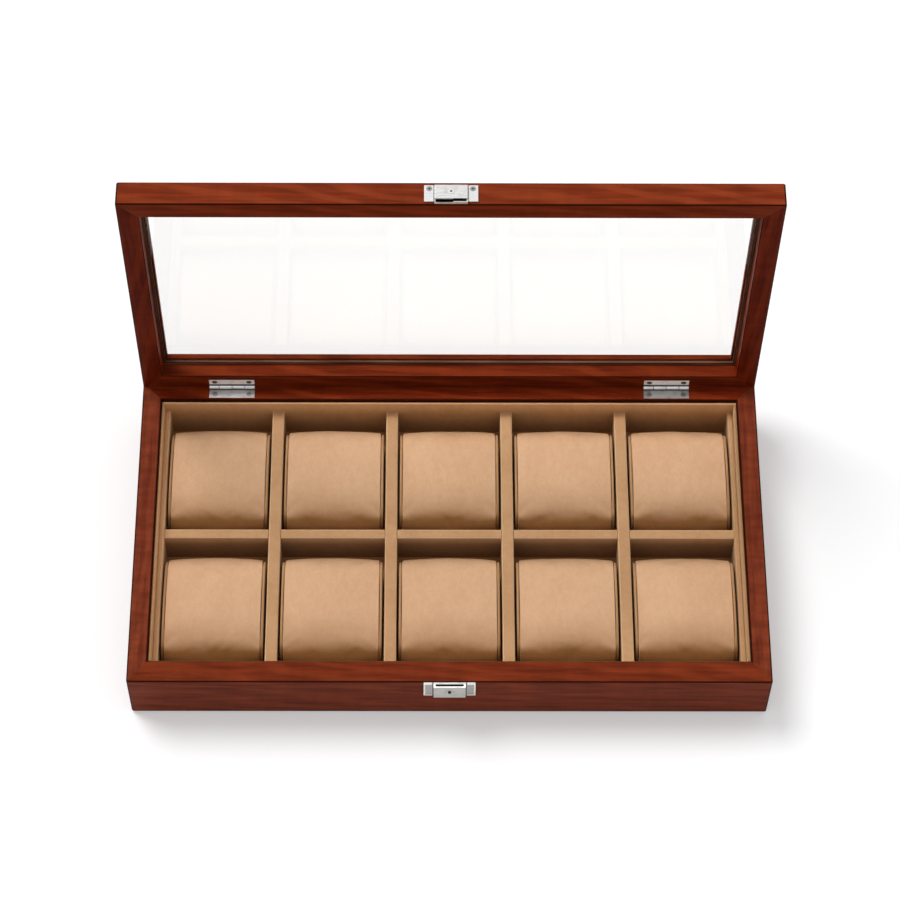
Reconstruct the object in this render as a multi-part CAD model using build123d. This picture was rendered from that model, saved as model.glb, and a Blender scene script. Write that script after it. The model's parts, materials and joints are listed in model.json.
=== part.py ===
from build123d import *
from math import cos, hypot, radians, sin, sqrt, tan
import os

# Watch organizer: a mitred hardwood case with ten cushioned compartments and a glazed lid.
# Millimetres, +Z up. The origin is the centre of the underside, on the table.
# The front, with the lock, faces -Y. The lid stands open behind the hinge line.

# Case frame
case_length = 340.0
case_depth = 182.0
case_height = 38.5  # table to rim
case_side_wall = 10.8
case_front_wall = 12.0
case_rear_wall = 11.1
corner_round = 1.2  # upright outer corners
outer_round = 0.9  # long outer arrises
inner_round = 0.5  # arrises beside the lining
felt_thickness = 0.8
felt_inset = 2.0
bottom_thickness = 3.2
bottom_rabbet = 5.0  # how far the bottom panel runs under the wall
panel_play = 0.1  # round a panel that lies in a rabbet

# Lining and insert, covered in suede
lining_thickness = 1.2
lining_drop = 2.0  # rim to the lining's top edge
lining_round = 0.4
insert_drop = 10.5  # rim to the top of the dividers
side_panel_thickness = 3.0
front_panel_thickness = 3.5
cross_thickness = 6.6
long_thickness = 5.5
divider_round = 1.0  # soft top edges
halving_play = 0.1  # each side of a halving joint
columns = 5

# Cushions
cushion_gap = 1.85  # to the insert on the left and right
cushion_front_gap = 0.5
cushion_depth = 65.6
cushion_height = 25.5
cushion_lift = 0.3  # over the floor lining
cushion_shoulder = 8.5  # radius where the top turns down
cushion_belly = 12.5  # height of the widest line
cushion_crown = 1.3  # how much the top and sides draw in towards the ends
cushion_end_thickness = 1.5
cushion_end_step = 0.5  # end panel inside the wrap's edge
cushion_end_round = 0.6

# Lid frame
lid_thickness = 13.8
lid_side_width = 11.2
lid_front_width = 12.0
lid_rear_width = 13.6
lip_thickness = 3.0
lip_reach = 2.8
lip_round = 0.6
glass_thickness = 1.5
glass_play = 0.15
bead_height = 1.6
bead_reach = 1.8
close_gap = 0.3  # between the mating faces of the shut case
open_angle = 90.5
stop_gap = 0.04  # between the bevels of the open lid

# Hinges
hinge_inset = 2.6  # rear face to the hinge axis
hinge_end = 49.4  # end of the case to the centre of a hinge
hinge_width = 25.0
outer_knuckle = 5.4
knuckle_radius = 1.5
knuckle_gap = 0.15
knuckle_play = 0.3  # round the knuckles, in the wood
leaf_reach = 7.0  # hinge axis to the leaf's edge
leaf_thickness = 1.0
leaf_play = 0.1  # round the leaf, in its recess
pin_radius = 0.65
pin_play = 0.05
hinge_screw_edge = 3.0  # leaf's end to the middle of a screw
hinge_screw_reach = 4.6  # hinge axis to the screws

# Screws
hinge_head_radius = 1.5
hinge_screw_length = 6.5
catch_head_radius = 1.55
catch_screw_length = 7.0
head_depth = 0.7
shank_radius = 0.8
point_length = 1.0
screw_play = 0.03
recess_length = 1.9
recess_width = 0.4
recess_depth = 0.4

# Lock on the case
plate_width = 27.4
plate_height = 14.2
plate_thickness = 1.0
plate_drop = 0.3  # rim to the plate's top edge
lock_width = 16.9
lock_height = 12.4
lock_reach = 3.3  # how far the lock's case stands out from the wood
lock_wall = 0.7
lock_top_wall = 1.0
metal_round = 0.25
slot_side = 1.15  # end of the slot to the side of the lock's case
slot_width = 1.0
slot_reach = 1.85  # wood to the middle of the slot
ear_border = 0.9
ear_sink = 0.35
stud_radius = 1.0
stud_length = 5.0

# Key barrel and hook
barrel_drop = 5.4  # rim to the barrel's axis
barrel_radius = 2.4
barrel_play = 0.05
barrel_proud = 0.1
hub_side = 2.6
stub_radius = 1.0
stub_short = 0.2  # stub's end to the wood
keyhole_radius = 0.75
keyhole_depth = 0.7
notch_size = 0.5  # marks on the barrel's rim
hook_thickness = 0.8
hook_hub_radius = 2.3
hook_arm_width = 1.8
hook_play = 0.1
hook_nose_length = 2.4
hook_nose_depth = 0.8
hook_nose_bevel = 0.4

# Catch on the lid
catch_plate_height = 9.9
catch_plate_rise = 1.4  # mating face to the plate's lower edge
catch_tongue_rise = 0.5  # mating face to the lower edge of the plate's middle
catch_screw_rise = 9.2
catch_block_rise = 1.8
catch_block_height = 8.4
catch_wall = 0.75
keeper_rise = 0.15  # mating face to the keeper
keeper_play = 0.2  # between the hook and the keeper
rivet_rise = 6.1
rivet_head_radius = 1.6
rivet_radius = 0.8
rivet_proud = 0.15
rivet_dimple = 0.35

# Modelling allowances
over = 1.0  # how far a cutting shape runs past a face
near = 0.001  # an edge this close to a plane lies in it

# Places worked out from the sizes above
rim_z = case_height
front_y = -case_depth / 2
rear_y = case_depth / 2
half_length = case_length / 2
hinge_spread = half_length - hinge_end
axis_y = rear_y - hinge_inset
axis_z = rim_z + close_gap / 2
mate_z = rim_z + close_gap
bottom_top = felt_thickness + bottom_thickness
floor_z = bottom_top + lining_thickness
insert_z = rim_z - insert_drop
inner_x = half_length - case_side_wall
inner_front = front_y + case_front_wall
inner_rear = rear_y - case_rear_wall
lined_x = inner_x - lining_thickness
lined_front = inner_front + lining_thickness
lined_rear = inner_rear - lining_thickness
insert_x = lined_x - side_panel_thickness
insert_front = lined_front + front_panel_thickness
cell_width = (2 * insert_x - (columns - 1) * cross_thickness) / columns
cell_pitch = cell_width + cross_thickness
cell_depth = (lined_rear - insert_front - long_thickness) / 2
long_y = insert_front + cell_depth + long_thickness / 2
slot_y = front_y - slot_reach
plate_y = front_y - plate_thickness
lock_front = front_y - lock_reach
barrel_z = rim_z - barrel_drop
half_lock = lock_width / 2
ear_width = (plate_width - lock_width) / 2
ear_x = half_lock + ear_width / 2
hook_tip = half_lock - lock_wall - hook_play
nose_rise = hook_tip - barrel_drop - hook_nose_depth  # rim to the raised hook's underside
hinge_line = Axis((0, axis_y, axis_z), (1, 0, 0))

nodes = {}


def block(x0, x1, y0, y1, z0, z1):
    size = Box(abs(x1 - x0), abs(y1 - y0), abs(z1 - z0))
    return Pos((x0 + x1) / 2, (y0 + y1) / 2, (z0 + z1) / 2) * size


def rod_x(radius, x0, x1, y, z):
    return Pos((x0 + x1) / 2, y, z) * Rot(0, 90, 0) * Cylinder(radius, x1 - x0)


def rod_y(radius, y0, y1, x, z):
    return Pos(x, (y0 + y1) / 2, z) * Rot(90, 0, 0) * Cylinder(radius, y1 - y0)


def edges_at(shape, axis, value):
    return ShapeList([e for e in shape.edges() if abs(getattr(e.center(), axis) - value) < near])


def open_lid(part):
    # Lid pieces are drawn shut and stored open
    return part.rotate(hinge_line, -open_angle)


def past_end(start, end, extra):
    run = Vector(*end) - Vector(*start)
    return Vector(*end) + run.normalized() * extra


def mitre(frame, widths, arrises, prefix):
    # Cuts a frame into four rails along the lines from its outer to its inner corners.
    # arrises lists the rounded inner edges: height, reach into the opening and radius.
    left, right, front, rear = widths
    box = frame.bounding_box()
    outer = [(-half_length, front_y), (half_length, front_y), (half_length, rear_y), (-half_length, rear_y)]
    inner = [
        (-half_length + left, front_y + front),
        (half_length - right, front_y + front),
        (half_length - right, rear_y - rear),
        (-half_length + left, rear_y - rear),
    ]
    reach = max(arris[1] for arris in arrises)
    far = [past_end(i, o, over) for o, i in zip(outer, inner)]
    deep = [past_end(o, i, 2 * (reach + over)) for o, i in zip(outer, inner)]
    sides = {
        "front": (0, 1, "Y", inner[0][1], 1),
        "right": (1, 2, "X", inner[1][0], -1),
        "rear": (2, 3, "Y", inner[2][1], -1),
        "left": (3, 0, "X", inner[3][0], 1),
    }
    rails = {}
    for side, (a, b, axis, wall, inward) in sides.items():
        outline = make_face(Polyline([far[a], far[b], deep[b], deep[a]], close=True))
        wedge = Pos(0, 0, box.min.Z - over) * extrude(outline, box.size.Z + 2 * over)
        rail = frame & wedge
        for height, reach, radius in arrises:
            edge = edges_at(edges_at(rail, "Z", height), axis, wall + inward * reach)
            rail = fillet(edge, radius)
        rails[prefix + side + "_rail"] = rail
    return rails


def rear_bevel(side):
    # The bevels behind the hinge line meet when the lid is open, and hold it there
    turn = radians(open_angle / 2)
    start = axis_y + (close_gap / 2 * cos(turn) - stop_gap / 2) / sin(turn)
    depth = rear_y - start + over
    z = rim_z if side < 0 else mate_z
    points = [(0, start, z), (0, start + depth, z), (0, start + depth, z + side * depth * tan(turn))]
    profile = make_face(Polyline(points, close=True))
    return extrude(profile, half_length + over, dir=(1, 0, 0), both=True)


def hinge_room(x, side):
    # Recess for one leaf, with the groove for the knuckles
    z = rim_z if side < 0 else mate_z
    half = hinge_width / 2 + leaf_play
    recess = block(x - half, x + half, axis_y - leaf_reach - leaf_play, axis_y, z, z + side * leaf_thickness)
    return recess + rod_x(knuckle_radius + knuckle_play, x - half, x + half, axis_y, axis_z)


def screw(head_radius, length):
    # Countersunk, head up, with its face at z = 0
    neck = point_length - length
    profile = Polyline(
        [(0, 0), (head_radius, 0), (shank_radius, -head_depth), (shank_radius, neck), (0, -length)],
        close=True,
    )
    body = revolve(make_face(Plane.XZ * profile), Axis.Z)
    bar = Box(recess_length, recess_width, 2 * recess_depth)
    return body - bar - Rot(0, 0, 90) * bar


def screw_room(head_radius, length):
    head = head_radius + screw_play
    shank = shank_radius + screw_play
    neck = point_length - length
    points = [(0, over), (head, over), (head, 0), (shank, -head_depth), (shank, neck), (0, -length - screw_play)]
    return revolve(make_face(Plane.XZ * Polyline(points, close=True)), Axis.Z)


def hinge_screw_places(side, hinges=(-1, 1)):
    # Heads face the other leaf: up on the case, down on the shut lid
    z = rim_z if side < 0 else mate_z
    turn = Rot(0, 0, 0) if side < 0 else Rot(180, 0, 0)
    spread = hinge_width / 2 - hinge_screw_edge
    places = []
    for hinge in hinges:
        for end in (-1, 1):
            x = hinge * hinge_spread + end * spread
            places.append(Pos(x, axis_y - hinge_screw_reach, z) * turn)
    return places


def catch_screw_places():
    z = mate_z + catch_screw_rise
    return [Pos(side * ear_x, plate_y, z) * Rot(90, 0, 0) for side in (-1, 1)]


def soft_frame(low, high):
    frame = block(-half_length, half_length, front_y, rear_y, low, high)
    frame = fillet(frame.edges().filter_by(Axis.Z), corner_round)
    return fillet(edges_at(frame, "Z", low) + edges_at(frame, "Z", high), outer_round)


def make_case_frame():
    frame = soft_frame(felt_thickness, rim_z)
    frame = frame - block(-inner_x, inner_x, inner_front, inner_rear, felt_thickness - over, rim_z + over)
    rabbet = bottom_rabbet
    frame = frame - block(-inner_x - rabbet, inner_x + rabbet, inner_front - rabbet, inner_rear + rabbet,
                          felt_thickness - over, bottom_top)
    frame = frame - rear_bevel(-1)
    for x in (-hinge_spread, hinge_spread):
        frame = frame - hinge_room(x, -1)
    for place in hinge_screw_places(-1):
        frame = frame - place * screw_room(hinge_head_radius, hinge_screw_length)
    stud_z = rim_z - plate_drop - plate_height / 2
    for side in (-1, 1):
        end = front_y + stud_length + panel_play
        frame = frame - rod_y(stud_radius + screw_play, front_y - over, end, side * ear_x, stud_z)
    widths = (case_side_wall, case_side_wall, case_front_wall, case_rear_wall)
    nodes.update(mitre(frame, widths, [(rim_z, 0, inner_round)], "case_"))


def make_bottom():
    reach = bottom_rabbet - panel_play
    nodes["bottom_panel"] = block(
        -inner_x - reach, inner_x + reach, inner_front - reach, inner_rear + reach, felt_thickness, bottom_top)
    felt_x = half_length - felt_inset
    felt = block(-felt_x, felt_x, front_y + felt_inset, rear_y - felt_inset, 0, felt_thickness)
    nodes["base_felt"] = fillet(felt.edges().filter_by(Axis.Z), corner_round)


def soft_board(x0, x1, y0, y1, top, run, radius):
    # A board on the floor lining, with both long top edges rounded
    board = block(x0, x1, y0, y1, floor_z, top)
    thickness = y1 - y0 if run == Axis.X else x1 - x0
    return fillet(edges_at(board, "Z", top).filter_by(run), min(radius, thickness / 3))


def make_lining():
    top = rim_z - lining_drop
    nodes["lining_floor"] = block(-inner_x, inner_x, inner_front, inner_rear, bottom_top, floor_z)
    nodes["lining_front"] = soft_board(-inner_x, inner_x, inner_front, lined_front, top, Axis.X, lining_round)
    nodes["lining_rear"] = soft_board(-inner_x, inner_x, lined_rear, inner_rear, top, Axis.X, lining_round)
    nodes["lining_left"] = soft_board(-inner_x, -lined_x, lined_front, lined_rear, top, Axis.Y, lining_round)
    nodes["lining_right"] = soft_board(lined_x, inner_x, lined_front, lined_rear, top, Axis.Y, lining_round)


def make_insert():
    radius = divider_round
    nodes["side_panel_left"] = soft_board(
        -lined_x, -insert_x, lined_front, lined_rear, insert_z, Axis.Y, radius)
    nodes["side_panel_right"] = soft_board(
        insert_x, lined_x, lined_front, lined_rear, insert_z, Axis.Y, radius)
    nodes["front_panel"] = soft_board(
        -insert_x, insert_x, lined_front, insert_front, insert_z, Axis.X, radius)
    half_long = long_thickness / 2
    half_cross = cross_thickness / 2
    middle = (floor_z + insert_z) / 2
    long_divider = soft_board(
        -insert_x, insert_x, long_y - half_long, long_y + half_long, insert_z, Axis.X, radius)
    slot = half_cross + halving_play
    notch = half_long + halving_play
    for k in range(1, columns):
        x = (k - columns / 2) * cell_pitch
        long_divider = long_divider - block(
            x - slot, x + slot, long_y - notch, long_y + notch, middle - halving_play / 2, insert_z + over)
        cross = soft_board(
            x - half_cross, x + half_cross, insert_front, lined_rear, insert_z, Axis.Y, radius)
        nodes["cross_divider_" + str(k)] = cross - block(
            x - slot, x + slot, long_y - notch, long_y + notch, floor_z - over, middle + halving_play / 2)
    nodes["long_divider"] = long_divider


def cushion_section(x, inset):
    # Flat below, full at front and back, with a wide crowned top: arcs that meet in tangents
    half = cushion_depth / 2 - inset
    top = cushion_height - inset
    belly = cushion_belly
    turn = cushion_shoulder
    shoulder_y = half - turn
    rise = top - belly
    top_radius = (shoulder_y ** 2 + rise ** 2 - turn ** 2) / (2 * (rise - turn))
    below = top_radius - rise  # belly line down to the top arc's centre
    reach = hypot(shoulder_y, below)
    unit_y = shoulder_y / reach
    unit_z = below / reach
    join = (shoulder_y + turn * unit_y, belly + turn * unit_z)
    half_turn = hypot(unit_y + 1, unit_z)
    bend = (shoulder_y + turn * (unit_y + 1) / half_turn, belly + turn * unit_z / half_turn)
    foot = half - belly
    heel = belly * sqrt(0.5)
    plane = Plane(origin=(x, 0, 0), x_dir=(0, 1, 0), z_dir=(1, 0, 0))
    outline = [
        Line((-foot, 0), (foot, 0)),
        ThreePointArc((foot, 0), (foot + heel, belly - heel), (half, belly)),
        ThreePointArc((half, belly), bend, join),
        ThreePointArc(join, (0, top), (-join[0], join[1])),
        ThreePointArc((-join[0], join[1]), (-bend[0], bend[1]), (-half, belly)),
        ThreePointArc((-half, belly), (-foot - heel, belly - heel), (-foot, 0)),
    ]
    return plane * make_face(Wire([e for line in outline for e in line.edges()]))


def make_cushions():
    # Foam in a suede wrap, with a narrower panel sewn in at each end
    wrap = cell_width / 2 - cushion_gap - cushion_end_thickness
    stations = (-1, -0.6, 0, 0.6, 1)
    cushion = loft([cushion_section(s * wrap, cushion_crown * s ** 2) for s in stations])
    for side in (-1, 1):
        outline = cushion_section(side * wrap, cushion_crown + cushion_end_step)
        panel = extrude(outline, cushion_end_thickness, dir=(side, 0, 0))
        rim = edges_at(panel, "X", side * (wrap + cushion_end_thickness))
        cushion = cushion + fillet(rim, cushion_end_round)
    number = 0
    for front in (long_y + long_thickness / 2, insert_front):
        for column in range(columns):
            number = number + 1
            x = (column - (columns - 1) / 2) * cell_pitch
            y = front + cushion_front_gap + cushion_depth / 2
            nodes["cushion_" + str(number)] = Pos(x, y, floor_z + cushion_lift) * cushion


def hinge_leaf(hinge, side, own):
    # own lists the knuckles that this leaf carries, counted from the left
    x = hinge * hinge_spread
    z = rim_z if side < 0 else mate_z
    half = hinge_width / 2
    marks = [x - half, x - half + outer_knuckle, x, x + half - outer_knuckle, x + half]
    leaf = block(x - half, x + half, axis_y - leaf_reach, axis_y, z, z + side * leaf_thickness)
    last = len(marks) - 2
    for k in range(last + 1):
        start = marks[k] + (knuckle_gap / 2 if k > 0 else 0)
        end = marks[k + 1] - (knuckle_gap / 2 if k < last else 0)
        if k in own:
            leaf = leaf + rod_x(knuckle_radius, start, end, axis_y, axis_z)
        else:
            leaf = leaf - rod_x(
                knuckle_radius + knuckle_gap, start - knuckle_gap, end + knuckle_gap, axis_y, axis_z)
    leaf = leaf - rod_x(pin_radius + pin_play, x - half - over, x + half + over, axis_y, axis_z)
    for place in hinge_screw_places(side, (hinge,)):
        leaf = leaf - place * screw_room(hinge_head_radius, hinge_screw_length)
    return leaf


def make_hinges():
    pins = []
    for name, hinge in (("left", -1), ("right", 1)):
        nodes["hinge_" + name + "_case_leaf"] = hinge_leaf(hinge, -1, (0, 2))
        nodes["hinge_" + name + "_lid_leaf"] = open_lid(hinge_leaf(hinge, 1, (1, 3)))
        x = hinge * hinge_spread
        pins.append(rod_x(pin_radius, x - hinge_width / 2, x + hinge_width / 2, axis_y, axis_z))
    nodes["hinge_pins"] = Compound(pins)
    one = screw(hinge_head_radius, hinge_screw_length)
    nodes["hinge_case_screws"] = Compound([place * one for place in hinge_screw_places(-1)])
    nodes["hinge_lid_screws"] = open_lid(Compound([place * one for place in hinge_screw_places(1)]))


def make_lid():
    top = mate_z + lid_thickness
    lip_z = top - lip_thickness
    hole_x = half_length - lid_side_width
    hole_front = front_y + lid_front_width
    hole_rear = rear_y - lid_rear_width
    frame = soft_frame(mate_z, top)
    frame = frame - block(-hole_x, hole_x, hole_front, hole_rear, mate_z - over, lip_z)
    reach = lip_reach
    frame = frame - block(
        -hole_x + reach, hole_x - reach, hole_front + reach, hole_rear - reach, lip_z - over, top + over)
    frame = frame - rear_bevel(1)
    for x in (-hinge_spread, hinge_spread):
        frame = frame - hinge_room(x, 1)
    for place in hinge_screw_places(1):
        frame = frame - place * screw_room(hinge_head_radius, hinge_screw_length)
    for place in catch_screw_places():
        frame = frame - place * screw_room(catch_head_radius, catch_screw_length)
    frame = frame - rod_y(
        rivet_radius + screw_play, front_y - over, front_y + plate_thickness + screw_play, 0, mate_z + rivet_rise)
    widths = (lid_side_width, lid_side_width, lid_front_width, lid_rear_width)
    arrises = [(mate_z, 0, inner_round), (top, lip_reach, lip_round)]
    for name, rail in mitre(frame, widths, arrises, "lid_").items():
        nodes[name] = open_lid(rail)

    under = lip_z - glass_thickness
    play = glass_play
    pane = block(-hole_x + play, hole_x - play, hole_front + play, hole_rear - play, under, lip_z)
    nodes["lid_glass"] = open_lid(pane)
    low = under - bead_height
    bead_x = hole_x - bead_reach
    bead_front = hole_front + bead_reach
    bead_rear = hole_rear - bead_reach
    beads = {
        "front": (block(-hole_x, hole_x, hole_front, bead_front, low, under), "Y", bead_front),
        "rear": (block(-hole_x, hole_x, bead_rear, hole_rear, low, under), "Y", bead_rear),
        "left": (block(-hole_x, -bead_x, bead_front, bead_rear, low, under), "X", -bead_x),
        "right": (block(bead_x, hole_x, bead_front, bead_rear, low, under), "X", bead_x),
    }
    radius = min(inner_round, bead_height / 2, bead_reach / 2)
    for side, (bead, axis, value) in beads.items():
        arris = edges_at(edges_at(bead, "Z", low), axis, value)
        nodes["glass_bead_" + side] = open_lid(fillet(arris, radius))


def make_lock():
    top = rim_z - plate_drop
    low = top - plate_height
    plate = block(-plate_width / 2, plate_width / 2, plate_y, front_y, low, top)
    plate = fillet(plate.edges().filter_by(Axis.Y), metal_round)
    middle_z = (low + top) / 2
    panel_half = ear_width / 2 - ear_border
    for side in (-1, 1):
        x = side * ear_x
        plate = plate - block(x - panel_half, x + panel_half, plate_y - over, plate_y + ear_sink,
                              low + ear_border, top - ear_border)
        plate = plate + rod_y(stud_radius, front_y, front_y + stud_length, x, middle_z)
    nodes["lock_plate"] = plate - rod_y(
        stub_radius + barrel_play, plate_y - over, front_y + over, 0, barrel_z)

    shell_low = rim_z - lock_height
    shell = block(-half_lock, half_lock, lock_front, plate_y, shell_low, rim_z)
    shell = fillet(edges_at(shell, "Y", lock_front), metal_round)
    room = half_lock - lock_wall
    shell = shell - block(-room, room, lock_front + lock_wall, plate_y + over,
                          shell_low + lock_wall, rim_z - lock_top_wall)
    slot_x = half_lock - slot_side
    half_slot = slot_width / 2
    shell = shell - block(-slot_x, slot_x, slot_y - half_slot, slot_y + half_slot,
                          rim_z - lock_top_wall - over, rim_z + over)
    nodes["lock_case"] = shell - rod_y(
        barrel_radius + barrel_play, lock_front - over, lock_front + lock_wall + over, 0, barrel_z)


def make_barrel_and_hook():
    nose = lock_front - barrel_proud
    hub_start = lock_front + lock_wall
    hub_end = slot_y + slot_width / 2
    half_hub = hub_side / 2
    barrel = rod_y(barrel_radius, nose, hub_start, 0, barrel_z)
    barrel = barrel + block(-half_hub, half_hub, hub_start, hub_end, barrel_z - half_hub, barrel_z + half_hub)
    barrel = barrel + rod_y(stub_radius, hub_end, front_y - stub_short, 0, barrel_z)
    barrel = barrel - rod_y(keyhole_radius, nose - over, nose + keyhole_depth, 0, barrel_z)
    for side in (-1, 1):
        barrel = barrel - Pos(side * barrel_radius, nose, barrel_z) * Box(notch_size, notch_size, notch_size)
    nodes["lock_barrel"] = barrel

    # The hook lies along -X until the key lifts it out through the slot.
    # In its own plane the first axis points up and the second one to the left.
    arm = hook_arm_width / 2
    nose_end = arm + hook_nose_length
    outline = Polyline(
        [
            (-arm, 0),
            (-arm, hook_tip - arm),
            (0, hook_tip),
            (nose_end - hook_nose_bevel, hook_tip),
            (nose_end, hook_tip - hook_nose_bevel),
            (nose_end, hook_tip - hook_nose_depth),
            (arm, hook_tip - hook_nose_depth),
            (arm, 0),
        ],
        close=True,
    )
    plan = make_face(outline) + Circle(hook_hub_radius) - Rectangle(hub_side, hub_side)
    rear = Plane(origin=(0, slot_y + hook_thickness / 2, barrel_z), x_dir=(0, 0, 1), z_dir=(0, -1, 0))
    nodes["lock_hook"] = extrude(rear * plan, hook_thickness)


def make_catch():
    low = mate_z + catch_plate_rise
    rivet_z = mate_z + rivet_rise
    plate = block(-plate_width / 2, plate_width / 2, plate_y, front_y, low, low + catch_plate_height)
    plate = fillet(plate.edges().filter_by(Axis.Y), metal_round)
    plate = plate + block(-half_lock, half_lock, plate_y, front_y, mate_z + catch_tongue_rise, rivet_z)
    for place in catch_screw_places():
        plate = plate - place * screw_room(catch_head_radius, catch_screw_length)
    bore = rod_y(rivet_radius + screw_play, lock_front - over, front_y + over, 0, rivet_z)
    nodes["catch_plate"] = open_lid(plate - bore)
    one = screw(catch_head_radius, catch_screw_length)
    nodes["catch_screws"] = open_lid(Compound([place * one for place in catch_screw_places()]))

    # A shell, open below and behind, and the keeper that the hook's nose passes over
    base = mate_z + catch_block_rise
    body = block(-half_lock, half_lock, lock_front, plate_y, base, base + catch_block_height)
    body = fillet(edges_at(body, "Y", lock_front), metal_round)
    wall = catch_wall
    body = body - block(-half_lock + wall, half_lock - wall, lock_front + wall, plate_y + over,
                        base - over, base + catch_block_height - wall)
    keeper_z = mate_z + keeper_rise
    keeper_top = rim_z + nose_rise - keeper_play
    keeper_front = slot_y - hook_thickness / 2 - hook_play
    keeper_x = hook_arm_width / 2 + keeper_play
    body = body + block(keeper_x, half_lock, keeper_front, plate_y, keeper_z, keeper_top)
    body = body + block(half_lock - wall, half_lock, keeper_front, plate_y, keeper_z, base + wall)
    nodes["catch_block"] = open_lid(body - bore)

    rivet = rod_y(rivet_radius, lock_front, front_y + plate_thickness, 0, rivet_z)
    head = rod_y(rivet_head_radius, lock_front - rivet_proud, lock_front, 0, rivet_z)
    head = fillet(edges_at(head, "Y", lock_front - rivet_proud), rivet_proud / 2)
    dimple = rod_y(rivet_dimple, lock_front - over, lock_front, 0, rivet_z)
    nodes["catch_rivet"] = open_lid(head + rivet - dimple)


make_case_frame()
make_bottom()
make_lining()
make_insert()
make_cushions()
make_hinges()
make_lid()
make_lock()
make_barrel_and_hook()
make_catch()

os.makedirs("parts", exist_ok=True)
for name, part in nodes.items():
    export_step(part, "parts/" + name + ".step")
    print(name, len(part.solids()), round(part.volume, 1))
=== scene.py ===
import json
from math import atan2, cos, hypot, pi, radians, sin, sqrt

import bmesh
import bpy
from mathutils import Matrix, Vector, noise

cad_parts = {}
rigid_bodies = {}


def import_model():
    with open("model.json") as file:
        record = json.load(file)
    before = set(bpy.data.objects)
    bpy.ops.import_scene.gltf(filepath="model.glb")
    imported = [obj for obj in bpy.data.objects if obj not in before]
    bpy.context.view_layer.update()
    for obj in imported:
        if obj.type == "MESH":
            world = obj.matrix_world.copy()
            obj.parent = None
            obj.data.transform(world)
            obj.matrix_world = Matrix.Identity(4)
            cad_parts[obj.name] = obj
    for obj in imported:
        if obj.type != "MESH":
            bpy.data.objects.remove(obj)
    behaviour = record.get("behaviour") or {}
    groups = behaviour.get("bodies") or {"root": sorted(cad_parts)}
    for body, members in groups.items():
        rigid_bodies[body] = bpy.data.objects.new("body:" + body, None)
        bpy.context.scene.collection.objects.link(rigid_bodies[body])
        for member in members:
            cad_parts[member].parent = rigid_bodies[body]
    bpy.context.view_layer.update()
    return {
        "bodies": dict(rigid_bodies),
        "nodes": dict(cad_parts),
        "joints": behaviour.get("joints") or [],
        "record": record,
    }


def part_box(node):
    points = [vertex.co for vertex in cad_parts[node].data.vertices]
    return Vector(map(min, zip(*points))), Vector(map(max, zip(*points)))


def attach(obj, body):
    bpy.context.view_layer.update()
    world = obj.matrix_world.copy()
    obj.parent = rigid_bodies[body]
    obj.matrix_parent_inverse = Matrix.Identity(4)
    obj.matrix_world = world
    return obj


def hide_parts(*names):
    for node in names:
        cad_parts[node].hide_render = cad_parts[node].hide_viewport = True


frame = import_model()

scene = bpy.context.scene
nodes = frame["nodes"]
print("frame loaded:", len(nodes), "nodes")


# Small helpers for node trees

def tone(red, green, blue):
    # a colour given 0 to 255, as the linear value that the nodes take
    picked = (red / 255, green / 255, blue / 255)
    return tuple(c / 12.92 if c < 0.04045 else ((c + 0.055) / 1.055) ** 2.4 for c in picked) + (1.0,)


def addNode(tree, kind, x, y, **settings):
    node = tree.nodes.new(kind)
    node.location = (x, y)
    for key, value in settings.items():
        setattr(node, key, value)
    return node


def wire(tree, value, socket):
    # another node's output is linked, anything else is set on the socket
    if isinstance(value, bpy.types.NodeSocket):
        tree.links.new(value, socket)
    else:
        socket.default_value = value


def mixColor(tree, x, y, mode, factor, first, second):
    node = addNode(tree, "ShaderNodeMix", x, y, data_type="RGBA", blend_type=mode)
    wire(tree, factor, node.inputs[0])
    wire(tree, first, node.inputs[6])
    wire(tree, second, node.inputs[7])
    return node.outputs[2]


def calc(tree, x, y, operation, first, second=0.0, third=0.0):
    node = addNode(tree, "ShaderNodeMath", x, y, operation=operation)
    for value, socket in zip((first, second, third), node.inputs):
        wire(tree, value, socket)
    return node.outputs[0]


def remap(tree, x, y, value, low, high, newLow=0.0, newHigh=1.0):
    node = addNode(tree, "ShaderNodeMapRange", x, y, interpolation_type="SMOOTHSTEP")
    for given, socket in zip((value, low, high, newLow, newHigh), node.inputs):
        wire(tree, given, socket)
    return node.outputs[0]


def stretch(tree, x, y, vector, factors):
    node = addNode(tree, "ShaderNodeVectorMath", x, y, operation="MULTIPLY")
    wire(tree, vector, node.inputs[0])
    node.inputs[1].default_value = factors
    return node.outputs[0]


def noiseField(tree, x, y, vector, scale, detail=3.0, rough=0.5, seed=0.0, twist=0.0):
    node = addNode(tree, "ShaderNodeTexNoise", x, y, noise_dimensions="4D")
    wire(tree, vector, node.inputs["Vector"])
    wire(tree, seed, node.inputs["W"])
    wire(tree, scale, node.inputs["Scale"])
    node.inputs["Detail"].default_value = detail
    node.inputs["Roughness"].default_value = rough
    node.inputs["Distortion"].default_value = twist
    return node.outputs["Fac"]


def newGroup(name, inputs, outputs):
    tree = bpy.data.node_groups.new(name, "ShaderNodeTree")
    for label, kind, value in inputs:
        socket = tree.interface.new_socket(label, in_out="INPUT", socket_type=kind)
        socket.default_value = value
    for label, kind in outputs:
        tree.interface.new_socket(label, in_out="OUTPUT", socket_type=kind)
    given = addNode(tree, "NodeGroupInput", -1400, 0)
    result = addNode(tree, "NodeGroupOutput", 900, 0)
    return tree, given.outputs, result.inputs


def useGroup(tree, x, y, group, **values):
    node = addNode(tree, "ShaderNodeGroup", x, y, node_tree=group)
    for label, value in values.items():
        wire(tree, value, node.inputs[label])
    return node.outputs


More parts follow.
